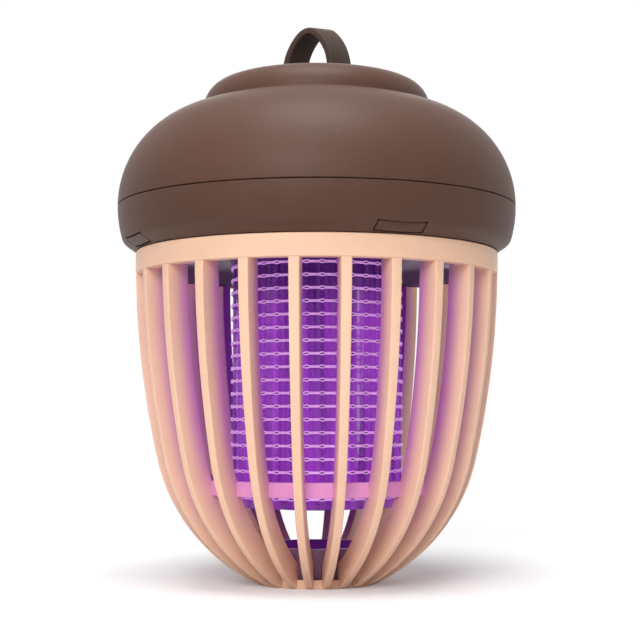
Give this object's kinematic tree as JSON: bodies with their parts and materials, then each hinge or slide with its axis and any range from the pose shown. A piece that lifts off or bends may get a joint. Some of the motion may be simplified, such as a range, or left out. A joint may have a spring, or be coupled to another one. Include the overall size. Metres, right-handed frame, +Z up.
{
  "type": "electric insect killer lamp",
  "caption": "Acorn shaped insect killer lamp: brown domed cap with a strap loop over a ribbed cage with a wire grid round a violet lamp column.",
  "frame": {"origin": "middle of the flat base of the cage, on the axis", "axes": "+Z up along the axis, the strap loop spans X, the charging port is 30 degrees from +X towards -Y"},
  "size_m": [0.1112, 0.1112, 0.1566],
  "materials": {
    "cap_shell": "fine matte brown",
    "strap": "soft matt brown",
    "ceiling": "plain matt grey",
    "cage_shell": "satin peach",
    "tray": "satin mauve grey",
    "steel": "drawn wire",
    "grid_plastic": "dark insulating plastic",
    "lamp_plastic": "dark gloss",
    "tube": "violet clear tube",
    "lights": "lit violet",
    "board": "green laminate",
    "cell": "shrink sleeve over a metal can",
    "ferrite": "dull dark",
    "black_plastic": "plain black",
    "screw_steel": "bright plated"
  },
  "bodies": {
    "head": {"cap_dome": "cap_shell", "cap_skirt": "cap_shell", "hanging_loop": "strap", "ceiling_plate": "ceiling", "case_screws": "screw_steel", "charging_port": "screw_steel", "button_switch": "black_plastic", "circuit_board": "board", "battery_cell": "cell", "battery_cradle": "black_plastic", "step_up_transformer": "ferrite", "storage_capacitor": "black_plastic", "lamp_socket": "lamp_plastic", "lamp_tube": "tube", "lamp_end_cap": "lamp_plastic", "light_strip": "board", "lights": "lights", "grid_frame": "grid_plastic", "live_wires": "steel", "earth_wires": "steel", "live_feed": "steel", "earth_feed": "steel"},
    "cage": {"cage": "cage_shell", "collecting_tray": "tray"},
    "port_cover": {"port_cover": "cap_shell"},
    "power_button": {"power_button": "cap_shell"}
  },
  "joints": [
    {"name": "cage_twist", "type": "hinge", "parent": "head", "child": "cage", "pos_m": [0, 0, 0.0873], "axis": [0, 0, 1], "range_deg": [0, 18]},
    {"name": "port_cover_flap", "type": "hinge", "parent": "head", "child": "port_cover", "pos_m": [0.0454, -0.02621, 0.09391], "axis": [-0.5, -0.866, 0], "range_deg": [0, 85]},
    {"name": "power_button_press", "type": "slide", "parent": "head", "child": "power_button", "axis": [0.2828, 0.4898, 0.8247], "range_m": [0, 0.0006], "stiffness_N_per_m": 2000, "springref_m": -0.0001}
  ]
}
